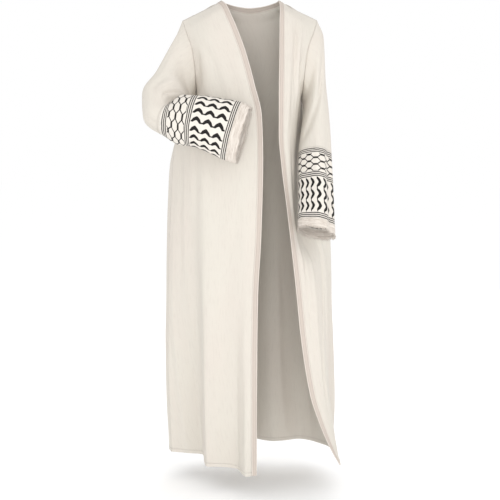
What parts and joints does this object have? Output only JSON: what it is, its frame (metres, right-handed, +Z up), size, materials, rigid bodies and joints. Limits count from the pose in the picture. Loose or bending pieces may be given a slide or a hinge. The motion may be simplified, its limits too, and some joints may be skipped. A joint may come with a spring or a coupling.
{
  "type": "abaya cloak",
  "caption": "Open-front full-length cream crepe abaya, worn form without a wearer, one sleeve bent across the front, with deep patterned bell cuffs and a fringe edging.",
  "frame": {"origin": "midway between the two points where neck and shoulder meet, where the wearer carries the cloak", "axes": "+Z up, -Y the way the wearer faces, +X the wearer's left"},
  "size_m": [0.6037, 0.4475, 1.433],
  "materials": {
    "cream_crepe": "matte cream crepe with faint upright crinkles",
    "front_band": "matte taupe-cream woven band, a little darker than the panels",
    "patterned_cuff": "off-white cotton weave with a black fishnet and leaf-row pattern between groups of stripes",
    "fringe_edging": "soft brushed cream fringe edging"
  },
  "bodies": {
    "root": {"back": "cream_crepe", "front_right": "cream_crepe", "front_left": "cream_crepe", "sleeve_right": "cream_crepe", "sleeve_left": "cream_crepe", "cuff_band_right": "patterned_cuff", "cuff_band_left": "patterned_cuff", "cuff_edging_right": "fringe_edging", "cuff_edging_left": "fringe_edging", "trim_right": "front_band", "trim_left": "front_band", "trim_back_neck": "front_band"}
  },
  "joints": []
}
